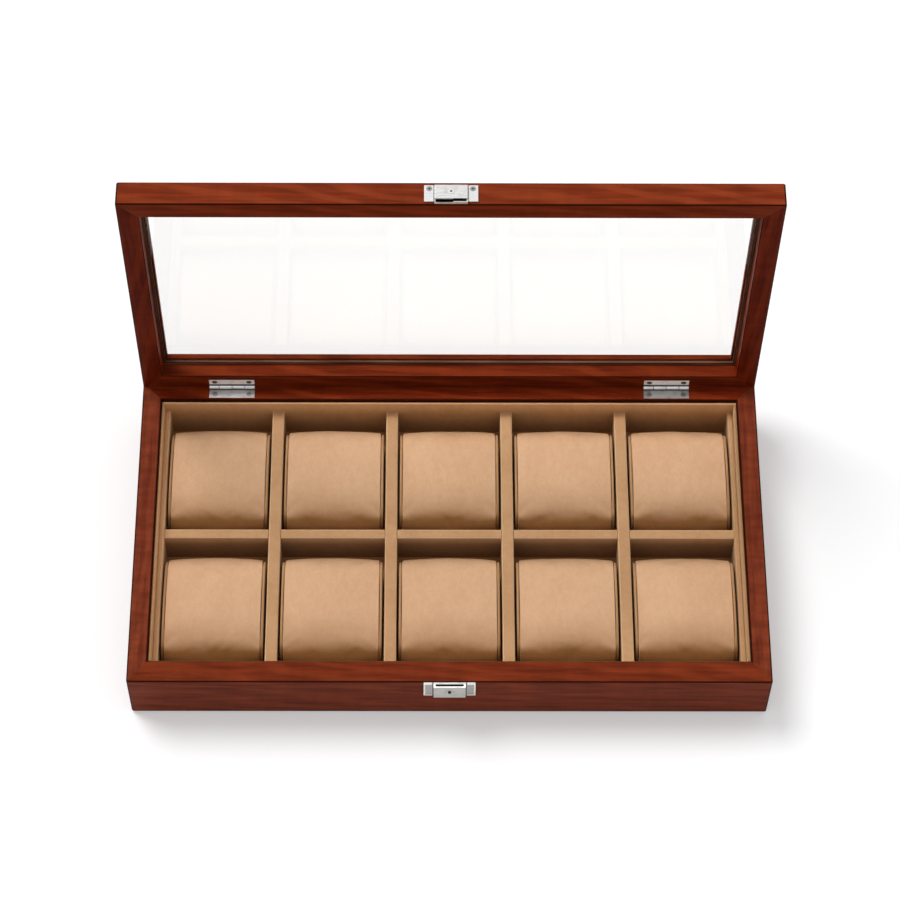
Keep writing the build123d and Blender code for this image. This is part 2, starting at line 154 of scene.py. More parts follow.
def newMaterial(name):
    material = bpy.data.materials.new(name)
    material.use_nodes = True
    tree = material.node_tree
    shader = tree.nodes["Principled BSDF"]
    shader.location = (600, 0)
    tree.nodes["Material Output"].location = (900, 0)
    place = addNode(tree, "ShaderNodeTexCoord", -1200, 0)
    return material, tree, shader.inputs, place.outputs["Object"]


def bump(tree, x, y, height, distance, strength):
    node = addNode(tree, "ShaderNodeBump", x, y)
    wire(tree, height, node.inputs["Height"])
    node.inputs["Distance"].default_value = distance
    node.inputs["Strength"].default_value = strength
    return node.outputs["Normal"]


floatKind = "NodeSocketFloat"
colorKind = "NodeSocketColor"
vectorKind = "NodeSocketVector"

# Grain, for every hardwood rail: X of the incoming vector runs along the board

grainLook = {
    # scale, detail and roughness of each noise, and how it is stretched along the board
    "streaks": (420.0, 6.0, 0.62),
    "streakStretch": (0.05, 1, 1),
    "streakRange": (0.32, 0.68),
    "streakHeight": 0.4,
    "bend": (42.0, 2.0, 0.5),  # slow waves that bend the rings
    "bendStretch": (0.22, 1, 1),
    "bendDepth": (0.0, 0.016, 0.016),
    "ringStretch": (0.16, 1, 1),
    "rings": {"Scale": 62.0, "Distortion": 1.6, "Detail": 2.0, "Detail Scale": 1.4},
    "flameRange": (0.35, 0.95),
    "curlStretch": (1, 0.3, 0.3),
    "curl": (2.0, 0.5),  # its scale comes with each rail
    "curlRange": (0.3, 0.7, -1.0, 1.0),
    "pores": (2400.0, 2.0, 0.5),
    "poreStretch": (0.06, 1, 1),
    "poreRange": (0.60, 0.72),
    "poreShare": 0.35,
}

grain, given, result = newGroup(
    "hardwoodGrain",
    [("Vector", vectorKind, (0, 0, 0)), ("Seed", floatKind, 0.0), ("Light", colorKind, (1, 1, 1, 1)),
     ("Dark", colorKind, (0, 0, 0, 1)), ("Flame", colorKind, (0, 0, 0, 1)),
     ("FlameShare", floatKind, 0.5), ("Curl", floatKind, 0.2), ("CurlScale", floatKind, 95.0)],
    [("Color", colorKind), ("Streaks", floatKind), ("Height", floatKind)],
)
long = stretch(grain, -1150, 200, given["Vector"], grainLook["streakStretch"])
streaks = noiseField(grain, -900, 300, long, *grainLook["streaks"], given["Seed"])
streakShare = remap(grain, -650, 300, streaks, *grainLook["streakRange"])
slow = stretch(grain, -1150, 0, given["Vector"], grainLook["bendStretch"])
bend = noiseField(grain, -900, 0, slow, *grainLook["bend"], given["Seed"])
ringPlace = addNode(grain, "ShaderNodeVectorMath", -650, 0, operation="MULTIPLY_ADD")
wire(grain, bend, ringPlace.inputs[0])
ringPlace.inputs[1].default_value = grainLook["bendDepth"]
drawn = stretch(grain, -900, -200, given["Vector"], grainLook["ringStretch"])
wire(grain, drawn, ringPlace.inputs[2])
rings = addNode(grain, "ShaderNodeTexWave", -400, 0, wave_type="BANDS", bands_direction="DIAGONAL")
wire(grain, ringPlace.outputs[0], rings.inputs["Vector"])
for label, value in grainLook["rings"].items():
    rings.inputs[label].default_value = value
flames = remap(grain, -150, 0, rings.outputs["Fac"], *grainLook["flameRange"])
across = stretch(grain, -1150, -450, given["Vector"], grainLook["curlStretch"])
curl = noiseField(grain, -900, -450, across, given["CurlScale"], *grainLook["curl"], given["Seed"])
fine = stretch(grain, -1150, -700, given["Vector"], grainLook["poreStretch"])
pores = noiseField(grain, -900, -700, fine, *grainLook["pores"])
poreMask = remap(grain, -650, -700, pores, *grainLook["poreRange"])
board = mixColor(grain, -400, 300, "MIX", streakShare, given["Dark"], given["Light"])
flameShare = calc(grain, -50, 100, "MULTIPLY", flames, given["FlameShare"])
flamed = mixColor(grain, 100, 200, "MIX", flameShare, board, given["Flame"])
curlWave = remap(grain, -650, -450, curl, *grainLook["curlRange"])
curlShade = calc(grain, -400, -450, "MULTIPLY_ADD", curlWave, given["Curl"], 1.0)
curled = mixColor(grain, 300, 200, "MULTIPLY", 1.0, flamed, curlShade)
poreShare = calc(grain, 300, -100, "MULTIPLY", poreMask, grainLook["poreShare"])
wire(grain, mixColor(grain, 500, 200, "MIX", poreShare, curled, given["Dark"]), result["Color"])
wire(grain, streakShare, result["Streaks"])
raised = calc(grain, 300, -300, "MULTIPLY", streaks, grainLook["streakHeight"])
wire(grain, calc(grain, 500, -300, "SUBTRACT", raised, poreMask), result["Height"])

# Arrises: 0 on a flat face, 1 where an edge rounds over

softEdge = {"Start": 0.02, "Full": 0.2}  # for suede and metal

arris, given, result = newGroup(
    "roundedArris",
    [("Start", floatKind, 0.01), ("Full", floatKind, 0.12)],
    [("Mask", floatKind)],
)
facing = addNode(arris, "ShaderNodeTexCoord", -1200, -200)
lengths = addNode(arris, "ShaderNodeVectorMath", -1000, -200, operation="ABSOLUTE")
wire(arris, facing.outputs["Normal"], lengths.inputs[0])
parts = addNode(arris, "ShaderNodeSeparateXYZ", -800, -200)
wire(arris, lengths.outputs[0], parts.inputs[0])
larger = calc(arris, -600, -200, "MAXIMUM", parts.outputs[0], parts.outputs[1])
largest = calc(arris, -400, -200, "MAXIMUM", larger, parts.outputs[2])
turned = calc(arris, -200, -200, "SUBTRACT", 1.0, largest)
wire(arris, remap(arris, 0, 0, turned, given["Start"], given["Full"]), result["Mask"])

# Bands: 1 between Full and Fade, as the distance from a plane or from a line through Centre.
# Left as they are, the inputs set no bounds.

bandInputs = [("Vector", vectorKind, (0, 0, 0)), ("Centre", vectorKind, (0, 0, 0)),
              ("Direction", vectorKind, (0, 0, 1)), ("Start", floatKind, -2.0), ("Full", floatKind, -1.0),
              ("Fade", floatKind, 1.0), ("Gone", floatKind, 2.0)]


def makeBand(name, measure):
    band, given, result = newGroup(name, bandInputs, [("Mask", floatKind)])
    away = addNode(band, "ShaderNodeVectorMath", -1100, 0, operation="SUBTRACT")
    wire(band, given["Vector"], away.inputs[0])
    wire(band, given["Centre"], away.inputs[1])
    product = addNode(band, "ShaderNodeVectorMath", -900, 0, operation=measure)
    wire(band, away.outputs[0], product.inputs[0])
    wire(band, given["Direction"], product.inputs[1])
    if measure == "CROSS_PRODUCT":
        length = addNode(band, "ShaderNodeVectorMath", -700, 0, operation="LENGTH")
        wire(band, product.outputs[0], length.inputs[0])
        distance = length.outputs["Value"]
    else:
        distance = calc(band, -700, 0, "ABSOLUTE", product.outputs["Value"])
    rising = remap(band, -400, 100, distance, given["Start"], given["Full"])
    falling = remap(band, -400, -200, distance, given["Fade"], given["Gone"], 1.0, 0.0)
    wire(band, calc(band, 0, 0, "MULTIPLY", rising, falling), result["Mask"])
    return band


planeBand = makeBand("planeBand", "DOT_PRODUCT")
lineBand = makeBand("lineBand", "CROSS_PRODUCT")

# Nap, for every suede and felt surface

napLook = {
    # scale, detail and roughness of each noise
    "fibres": (1500.0, 4.0, 0.7),
    "clumps": (330.0, 3.0, 0.6),
    "strokes": (46.0, 3.0, 0.55),
    "clumpTwist": 0.6,
    "strokeTwist": 0.8,
    # what comes in and what it is turned into
    "wave": (0.3, 0.7, -0.5, 0.5),
    "clumpWave": (0.3, 0.7, -0.35, 0.35),
    "mixRange": (-0.1, 1.1),
    "clumpHeight": 0.8,
}

nap, given, result = newGroup(
    "suedeNap",
    [("Vector", vectorKind, (0, 0, 0)), ("Seed", floatKind, 0.0), ("Light", colorKind, (1, 1, 1, 1)),
     ("Dark", colorKind, (0, 0, 0, 1)), ("Brush", floatKind, 0.5), ("Fibre", floatKind, 0.5)],
    [("Color", colorKind), ("Height", floatKind)],
)
fibres = noiseField(nap, -900, 300, given["Vector"], *napLook["fibres"], given["Seed"])
clumps = noiseField(nap, -900, 50, given["Vector"], *napLook["clumps"], given["Seed"],
                    napLook["clumpTwist"])
strokes = noiseField(nap, -900, -200, given["Vector"], *napLook["strokes"], given["Seed"],
                     napLook["strokeTwist"])
fineWave = remap(nap, -750, 300, fibres, *napLook["wave"])
clumpWave = remap(nap, -750, 50, clumps, *napLook["clumpWave"])
broadWave = remap(nap, -750, -200, strokes, *napLook["wave"])
fine = calc(nap, -600, 300, "MULTIPLY", fineWave, given["Fibre"])
clump = calc(nap, -600, 50, "MULTIPLY", clumpWave, given["Fibre"])
broad = calc(nap, -600, -200, "MULTIPLY", broadWave, given["Brush"])
near = calc(nap, -500, 150, "ADD", fine, clump)
far = calc(nap, -500, -100, "ADD", broad, 0.5)
mixed = calc(nap, -400, 100, "ADD", near, far)
mixed = remap(nap, -200, 100, mixed, *napLook["mixRange"])
wire(nap, mixColor(nap, 300, 200, "MIX", mixed, given["Dark"], given["Light"]), result["Color"])
clumpHeight = calc(nap, 100, -100, "MULTIPLY", clumps, napLook["clumpHeight"])
wire(nap, calc(nap, 300, -100, "ADD", fibres, clumpHeight), result["Height"])

# Brushing, for the plated metal: X of the incoming vector runs along the strokes

brushLook = {
    "stretch": (0.04, 1, 1),
    "lines": (3200.0, 3.0, 0.6),  # scale, detail and roughness of each noise
    "lineRange": (0.3, 0.7, -1.0, 1.0),
    "stain": (260.0, 3.0, 0.6),
    "stainRange": (0.45, 0.75),
}

brushing, given, result = newGroup(
    "brushedMetal",
    [("Vector", vectorKind, (0, 0, 0)), ("Base", floatKind, 0.3), ("Spread", floatKind, 0.15)],
    [("Roughness", floatKind), ("Height", floatKind), ("Stain", floatKind)],
)
long = stretch(brushing, -1100, 200, given["Vector"], brushLook["stretch"])
lines = noiseField(brushing, -900, 200, long, *brushLook["lines"])
stain = noiseField(brushing, -900, -100, given["Vector"], *brushLook["stain"])
centred = remap(brushing, -650, 200, lines, *brushLook["lineRange"])
gloss = calc(brushing, 100, 200, "MULTIPLY_ADD", centred, given["Spread"], given["Base"])
wire(brushing, gloss, result["Roughness"])
wire(brushing, lines, result["Height"])
wire(brushing, remap(brushing, 100, -100, stain, *brushLook["stainRange"]), result["Stain"])
print("node groups ready")


# Hardwood

alongX = (0, 0, 0)
alongY = (0, 0, radians(-90))
alongZ = (0, radians(90), 0)

woodLook = {
    "roughness": 0.42,
    "roughnessSpread": 0.12,
    "specular": 0.03,
    "specularTint": tone(255, 190, 150),
    "poreDepth": 0.00012,
    "poreStrength": 0.5,
    # painted shade: a dark line along every rounded edge of the hardwood
    "arrisShadeColor": tone(44, 18, 7),
    "arrisShare": 0.95,
    "arris": {"Start": 0.004, "Full": 0.05},
    "insideShade": (0.76, 0.66, 0.56, 1),  # painted shade on the lid's mating face, which is the one that looks to -Y
    "insideRange": (-0.95, -0.6),
    "rimShadeColor": tone(44, 12, 4),
    "rim": {"Fade": 0.0006, "Gone": 0.0013},
    "rails": {
        "caseFront": {"run": alongX, "seed": 0.0, "light": tone(120, 48, 25), "dark": tone(96, 37, 19),
                      "flame": tone(138, 58, 30), "flameShare": 0.35, "curl": 0.08, "curlScale": 95.0},
        "caseSide": {"run": alongY, "seed": 3.1, "light": tone(122, 54, 34), "dark": tone(98, 40, 24),
                     "flame": tone(138, 66, 40), "flameShare": 0.3, "curl": 0.16, "curlScale": 240.0},
        "caseRear": {"run": alongX, "seed": 5.7, "light": tone(116, 38, 14), "dark": tone(88, 27, 9),
                     "flame": tone(134, 50, 20), "flameShare": 0.45, "curl": 0.08, "curlScale": 95.0},
        "lidFront": {"run": alongX, "seed": 8.3, "light": tone(136, 54, 28), "dark": tone(108, 41, 20),
                     "flame": tone(152, 67, 36), "flameShare": 0.4, "curl": 0.08, "curlScale": 95.0},
        "lidSide": {"run": alongZ, "seed": 11.9, "light": tone(118, 39, 14), "dark": tone(88, 26, 8),
                    "flame": tone(136, 52, 20), "flameShare": 0.4, "curl": 0.12, "curlScale": 160.0},
        # painted shade: this rail is darker because the lamp lights its inner face strongly
        "lidRear": {"run": alongX, "seed": 14.2, "light": tone(110, 38, 16), "dark": tone(80, 26, 9),
                    "flame": tone(126, 50, 22), "flameShare": 0.45, "curl": 0.08, "curlScale": 95.0},
        "bead": {"run": alongX, "seed": 17.3, "light": tone(106, 72, 56), "dark": tone(76, 48, 36),
                 "flame": tone(120, 86, 68), "flameShare": 0.4, "curl": 0.05, "curlScale": 95.0},
        "beadUpright": {"run": alongZ, "seed": 19.9, "light": tone(96, 66, 50), "dark": tone(70, 46, 34),
                        "flame": tone(108, 78, 60), "flameShare": 0.4, "curl": 0.05, "curlScale": 95.0},
    },
    # painted shade: a dark line on the rails beside the lining: side of the opening, and the way across it
    "shadeRims": {
        "caseSide": (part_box("lining_right")[1].x, (1, 0, 0)),
        "caseRear": (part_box("lining_rear")[1].y, (0, 1, 0)),
    },
}


def mirrored(tree, x, y, place):
    # the same on the left as on the right
    split = addNode(tree, "ShaderNodeSeparateXYZ", x, y)
    wire(tree, place, split.inputs[0])
    joined = addNode(tree, "ShaderNodeCombineXYZ", x + 350, y)
    wire(tree, calc(tree, x + 170, y, "ABSOLUTE", split.outputs["X"]), joined.inputs["X"])
    wire(tree, split.outputs["Y"], joined.inputs["Y"])
    wire(tree, split.outputs["Z"], joined.inputs["Z"])
    return joined.outputs[0]


def makeWood(name, rail):
    material, tree, shader, place = newMaterial(name + "Wood")
    turn = addNode(tree, "ShaderNodeMapping", -1000, 0)
    turn.inputs["Rotation"].default_value = rail["run"]
    wire(tree, place, turn.inputs["Vector"])
    wood = useGroup(tree, -700, 0, grain, Vector=turn.outputs[0], Seed=rail["seed"], Light=rail["light"],
                    Dark=rail["dark"], Flame=rail["flame"], FlameShare=rail["flameShare"], Curl=rail["curl"],
                    CurlScale=rail["curlScale"])
    # painted shade along the rounded edges
    edge = useGroup(tree, -700, -350, arris, **woodLook["arris"])["Mask"]
    share = calc(tree, -450, -350, "MULTIPLY", edge, woodLook["arrisShare"])
    color = mixColor(tree, -200, 100, "MIX", share, wood["Color"], woodLook["arrisShadeColor"])
    # painted shade: the lid's rails are darker where they look to -Y
    if name in ("lidFront", "lidSide"):
        facing = addNode(tree, "ShaderNodeTexCoord", -900, 900)
        split = addNode(tree, "ShaderNodeSeparateXYZ", -700, 900)
        wire(tree, facing.outputs["Normal"], split.inputs[0])
        inside = remap(tree, -500, 900, split.outputs["Y"], *woodLook["insideRange"], 1.0, 0.0)
        color = mixColor(tree, 0, 300, "MULTIPLY", inside, color, woodLook["insideShade"])
    # painted shade beside the lining
    if name in woodLook["shadeRims"]:
        distance, across = woodLook["shadeRims"][name]
        middle = tuple(distance * part for part in across)
        rim = useGroup(tree, -400, 500, planeBand, Vector=mirrored(tree, -900, 500, place), Centre=middle,
                       Direction=across, **woodLook["rim"])["Mask"]
        color = mixColor(tree, 100, 100, "MIX", rim, color, woodLook["rimShadeColor"])
    wire(tree, color, shader["Base Color"])
    low = woodLook["roughness"] - woodLook["roughnessSpread"] / 2
    high = woodLook["roughness"] + woodLook["roughnessSpread"] / 2
    wire(tree, remap(tree, -200, -100, wood["Streaks"], 0.0, 1.0, high, low), shader["Roughness"])
    pores = bump(tree, 200, -300, wood["Height"], woodLook["poreDepth"], woodLook["poreStrength"])
    wire(tree, pores, shader["Normal"])
    shader["Specular IOR Level"].default_value = woodLook["specular"]
    shader["Specular Tint"].default_value = woodLook["specularTint"]
    return material


woods = {name: makeWood(name, rail) for name, rail in woodLook["rails"].items()}

# Suede and felt

suedeLook = {
    "roughness": 0.95,
    "specular": 0.08,
    "sheen": 0.25,
    "sheenRoughness": 0.45,
    "sheenTint": tone(255, 226, 190),
    "napDepth": 0.0002,
    "napStrength": 0.6,
    "rearShade": (0.66, 0.62, 0.56, 1),  # painted shade where a wrap turns down at the rear
    "rearRange": (0.15, 0.8),
    "rim": {"Fade": 0.0003, "Gone": 0.0007},  # painted shade along a top edge
    "coverings": {
        "lining": {"seed": 0.0, "light": tone(232, 182, 132), "dark": tone(210, 160, 110),
                   "edge": tone(226, 188, 146), "edgeShare": 0.6, "brush": 0.4, "fibre": 0.35,
                   "strokes": (1, 1, 0.6), "low": 0.0225, "high": 0.0375, "deep": (0.64, 0.55, 0.44, 1)},
        # painted shade: a darker copy of the lining, for the front lining that lies under the front rail
        "liningFrontShaded": {"seed": 1.0, "light": tone(196, 148, 104), "dark": tone(176, 128, 86),
                        "edge": tone(120, 84, 56), "edgeShare": 0.6, "brush": 0.4, "fibre": 0.35,
                        "strokes": (1, 1, 0.6), "low": 0.010, "high": 0.028, "deep": (0.55, 0.47, 0.38, 1),
                        "top": 0.0365, "topShade": (0.36, 0.30, 0.24, 1)},
        # painted light: a lighter copy of the lining, for the left side that lies in the rail's shadow
        "liningLeftLit": {"seed": 2.0, "light": tone(236, 188, 140), "dark": tone(216, 168, 120),
                       "edge": tone(212, 170, 126), "edgeShare": 0.5, "brush": 0.4, "fibre": 0.35,
                       "strokes": (1, 0.3, 1), "low": 0.010, "high": 0.028, "deep": (0.55, 0.47, 0.38, 1),
                       "top": 0.0365, "topShade": (0.80, 0.74, 0.68, 1)},
        "liningRight": {"seed": 2.6, "light": tone(200, 159, 116), "dark": tone(180, 139, 98),
                        "edge": tone(180, 142, 104), "edgeShare": 0.5, "brush": 0.4, "fibre": 0.35,
                        "strokes": (1, 0.3, 1), "low": 0.010, "high": 0.028, "deep": (0.55, 0.47, 0.38, 1),
                        "top": 0.0365, "topShade": (0.80, 0.74, 0.68, 1)},
        "insert": {"seed": 4.0, "light": tone(196, 154, 114), "dark": tone(178, 134, 94),
                   "edge": tone(226, 190, 150), "edgeShare": 0.6, "brush": 0.4, "fibre": 0.35,
                   "strokes": (1, 1, 1), "low": 0.019, "high": 0.0278, "deep": (0.58, 0.49, 0.38, 1)},
        # painted light: a lighter copy of the insert, for the left side that lies in the rail's shadow
        "insertLeftLit": {"seed": 6.0, "light": tone(226, 180, 134), "dark": tone(204, 158, 112),
                       "edge": tone(226, 184, 142), "edgeShare": 0.5, "brush": 0.5, "fibre": 0.35,
                       "strokes": (1, 0.2, 1), "low": 0.016, "high": 0.0278, "deep": (0.58, 0.49, 0.38, 1)},
        "insertRight": {"seed": 6.6, "light": tone(194, 153, 112), "dark": tone(174, 133, 93),
                        "edge": tone(194, 158, 122), "edgeShare": 0.5, "brush": 0.5, "fibre": 0.35,
                        "strokes": (1, 0.2, 1), "low": 0.016, "high": 0.0278, "deep": (0.58, 0.49, 0.38, 1)},
        "cushion": {"seed": 9.0, "light": tone(215, 174, 138), "dark": tone(201, 158, 121),
                    "edge": tone(200, 160, 122), "edgeShare": 0.0, "brush": 0.3, "fibre": 0.35,
                    "strokes": (1, 0.6, 1), "low": -0.53, "high": -0.02, "deep": (0.36, 0.255, 0.14, 1)},
        # painted shade: the end panels are darker than the wrap, in the gaps beside them, with a painted
        # highlight on their rounded edge
        "cushionEnd": {"seed": 13.0, "light": tone(186, 144, 102), "dark": tone(160, 118, 78),
                       "edge": tone(206, 164, 122), "edgeShare": 0.5, "brush": 0.4, "fibre": 0.35,
                       "strokes": (1, 1, 1), "low": -0.53, "high": -0.02, "deep": (0.38, 0.27, 0.15, 1)},
        "felt": {"seed": 17.0, "light": tone(64, 46, 34), "dark": tone(40, 28, 20),
                 "edge": tone(70, 52, 40), "edgeShare": 0.3, "brush": 0.8, "fibre": 0.9,
                 "strokes": (1, 1, 1), "low": -1.0, "high": 0.0, "deep": (1, 1, 1, 1)},
    },
}


def makeSuede(name, cover):
    material, tree, shader, place = newMaterial(name + "Cover")
    vector = stretch(tree, -1000, 0, place, cover["strokes"])
    pile = useGroup(tree, -700, 0, nap, Vector=vector, Seed=cover["seed"], Light=cover["light"],
                    Dark=cover["dark"], Brush=cover["brush"], Fibre=cover["fibre"])
    # the edge colour is painted light on rounded edges: a painted highlight, and painted shade on the front
    # lining
    edge = useGroup(tree, -700, -350, arris, **softEdge)["Mask"]
    share = calc(tree, -450, -350, "MULTIPLY", edge, cover["edgeShare"])
    color = mixColor(tree, -200, 100, "MIX", share, pile["Color"], cover["edge"])
    split = addNode(tree, "ShaderNodeSeparateXYZ", -700, 300)
    if name.startswith("cushion"):
        # painted shade where a wrap turns down at the front and the rear
        facing = addNode(tree, "ShaderNodeTexCoord", -900, 300)
        wire(tree, facing.outputs["Normal"], split.inputs[0])
        raised = remap(tree, -450, 300, split.outputs["Y"], cover["low"], cover["high"])
    else:
        # painted shade: a compartment gets darker towards its bottom
        wire(tree, place, split.inputs[0])
        raised = remap(tree, -450, 300, split.outputs["Z"], cover["low"], cover["high"])
    shade = mixColor(tree, -200, 350, "MIX", raised, cover["deep"], (1, 1, 1, 1))
    color = mixColor(tree, 100, 100, "MULTIPLY", 1.0, color, shade)
    if name.startswith("cushion"):
        # painted shade where the wrap turns down at the rear
        turned = remap(tree, -450, 600, split.outputs["Y"], *suedeLook["rearRange"])
        color = mixColor(tree, 300, 200, "MULTIPLY", turned, color, suedeLook["rearShade"])
    # painted shade along the top edge, beside the wood
    if "top" in cover:
        top = (0, 0, cover["top"])
        rim = useGroup(tree, -200, 600, planeBand, Vector=place, Centre=top, **suedeLook["rim"])["Mask"]
        color = mixColor(tree, 300, 200, "MULTIPLY", rim, color, cover["topShade"])
    wire(tree, color, shader["Base Color"])
    pileNormal = bump(tree, 200, -300, pile["Height"], suedeLook["napDepth"], suedeLook["napStrength"])
    wire(tree, pileNormal, shader["Normal"])
    shader["Roughness"].default_value = suedeLook["roughness"]
    shader["Specular IOR Level"].default_value = suedeLook["specular"]
    shader["Sheen Weight"].default_value = suedeLook["sheen"]
    shader["Sheen Roughness"].default_value = suedeLook["sheenRoughness"]
    shader["Sheen Tint"].default_value = suedeLook["sheenTint"]
    return material


suedes = {name: makeSuede(name, cover) for name, cover in suedeLook["coverings"].items()}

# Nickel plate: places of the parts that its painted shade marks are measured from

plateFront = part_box("lock_plate")[0].y
lockFront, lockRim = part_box("lock_case")[0].y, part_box("lock_case")[1].z
barrelMiddle = (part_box("lock_barrel")[0].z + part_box("lock_barrel")[1].z) / 2
blockTop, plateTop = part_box("catch_block")[1].z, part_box("catch_screws")[1].z
hingeAxis = (0, (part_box("hinge_pins")[0].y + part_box("hinge_pins")[1].y) / 2,
             (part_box("hinge_pins")[0].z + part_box("hinge_pins")[1].z) / 2)
hingeMiddle = abs(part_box("hinge_left_lid_leaf")[0].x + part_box("hinge_left_lid_leaf")[1].x) / 2
flank = (0, sqrt(0.5), sqrt(0.5))


# a mark is a share of painted shade, and the bands that all have to hold there
def xBand(place, **reach):
    return planeBand, {"Centre": (place, 0, 0), "Direction": (1, 0, 0), **reach}


def yBand(place, **reach):
    return planeBand, {"Centre": (0, place, 0), "Direction": (0, 1, 0), **reach}


def zBand(place, **reach):
    return planeBand, {"Centre": (0, 0, place), "Direction": (0, 0, 1), **reach}


# painted shade in the catch's opening: between its ends, and further in than its rim
openingEnds = xBand(0, Fade=0.0077, Gone=0.0079)
insideRim = yBand(0.0900, Start=0.0012, Full=0.0015)

hingeLook = {
    "knuckle": {"Fade": 0.0022, "Gone": 0.0028},  # away from the hinge's axis
    "flank": {"Start": 0.00055, "Full": 0.0009, "Fade": 0.0017, "Gone": 0.0021},
    "flankShare": 0.85,
    "joints": (-0.0071, 0.0, 0.0071),
    "joint": {"Fade": 0.0001, "Gone": 0.0004},
    "jointShare": 0.8,
}


def knuckleMarks():
    # painted shade on the barrel's flanks beside a bright ridge, and in the joints between knuckles
    near = (lineBand, {"Centre": hingeAxis, "Direction": (1, 0, 0), **hingeLook["knuckle"]})
    sides = (planeBand, {"Centre": hingeAxis, "Direction": flank, **hingeLook["flank"]})
    marks = [(hingeLook["flankShare"], [near, sides])]
    for joint in hingeLook["joints"]:
        line = xBand(hingeMiddle + joint, **hingeLook["joint"])
        marks.append((hingeLook["jointShare"], [near, line]))
    return marks


metalLook = {
    "strokeDepth": 0.00003,
    "stainColor": tone(150, 146, 140),
    "markShadeColor": tone(34, 32, 31),
    "finishes": {
        "catchPlate": {
            "color": tone(214, 213, 214), "base": 0.26, "spread": 0.05, "bump": 0.2, "stain": 0.15,
            "arris": 0.4, "marks": [
                (0.9, [openingEnds, insideRim]),
                # painted shade in the seams beside the block
                (0.6, [xBand(0.00875, Fade=0.0002, Gone=0.0004)])]},
        "catchBlock": {
            "color": tone(205, 204, 203), "base": 0.28, "spread": 0.10, "bump": 0.5, "stain": 0.3,
            "arris": 0.75, "marks": [
                (0.95, [openingEnds, zBand(blockTop, Start=0.0006, Full=0.0009), insideRim]),
                # painted shade on the keeper's tip
                (0.9, [openingEnds, yBand(0.0912, Fade=0.0005, Gone=0.0006)])]},
        "rivet": {
            "color": tone(206, 205, 204), "base": 0.3, "spread": 0.06, "bump": 0.2, "stain": 0.2,
            "arris": 0.6, "marks": [
                # painted shade in the dimple
                (0.85, [(lineBand, {"Centre": (0, 0.09625, 0), "Fade": 0.0004, "Gone": 0.0008})])]},
        "lockPlate": {
            "color": tone(236, 233, 228), "base": 0.32, "spread": 0.08, "bump": 0.3, "stain": 0.3,
            "arris": 0.5, "marks": [
                # painted shade in the sunk panels, and in the seams beside the lock's case
                (0.5, [yBand(plateFront, Start=0.00012, Full=0.0003)]),
                (0.85, [xBand(0.00885, Fade=0.0003, Gone=0.0005)])]},
        "lockCase": {
            "color": tone(238, 236, 233), "base": 0.32, "spread": 0.10, "bump": 0.35, "stain": 0.3,
            "arris": 0.3, "marks": [
                # painted shade on the front face, on what lies behind it, and in the slot for the hook
                (0.42, [yBand(lockFront, Fade=0.0001, Gone=0.0003)]),
                (0.95, [yBand(lockFront, Start=0.0003, Full=0.0005),
                        zBand(lockRim, Start=0.00005, Full=0.0002)]),
                (0.9, [yBand(-0.09285, Fade=0.00055, Gone=0.0008),
                       xBand(0, Fade=0.0073, Gone=0.0075)])]},
        "barrel": {
            "color": tone(190, 188, 185), "base": 0.32, "spread": 0.06, "bump": 0.2, "stain": 0.2,
            "arris": 0.6, "marks": [
                # painted shade in the keyhole, and in the notch on each side of it
                (0.95, [zBand(barrelMiddle, Fade=0.0016, Gone=0.0021),
                        xBand(0, Fade=0.0007, Gone=0.0011)]),
                (0.6, [(lineBand, {"Centre": (0.0022, 0, barrelMiddle), "Direction": (0, 1, 0),
                                   "Fade": 0.0003, "Gone": 0.0007})])]},
        # painted light: the lid's leaf is a lighter copy of the same plating as the case's leaf
        "lidLeafLit": {
            "color": tone(254, 252, 250), "base": 0.6, "spread": 0.08, "bump": 0.2, "stain": 0.25,
            "arris": 0.4, "marks": knuckleMarks()},
        "caseLeaf": {
            "color": tone(240, 238, 236), "base": 0.36, "spread": 0.08, "bump": 0.2, "stain": 0.4,
            # painted shade: its flat plate is darker than the knuckles
            "arris": 0.4, "marks": knuckleMarks() + [(0.69, [yBand(0.0841, Fade=0.0027, Gone=0.0029)])]},
        "hingeScrew": {
            "color": tone(112, 109, 106), "base": 0.34, "spread": 0.05, "bump": 0.1, "stain": 0.4,
            "arris": 0.2, "marks": []},
        "catchScrew": {
            "color": tone(150, 148, 146), "base": 0.30, "spread": 0.05, "bump": 0.1, "stain": 0.3,
            # painted shade in the cross in the head
            "arris": 0.2, "marks": [(0.9, [zBand(plateTop, Start=0.00012, Full=0.0003)])]},
        "hook": {
            "color": tone(70, 67, 64), "base": 0.42, "spread": 0.08, "bump": 0.2, "stain": 0.3,
            "arris": 0.0, "marks": []},
    },
}


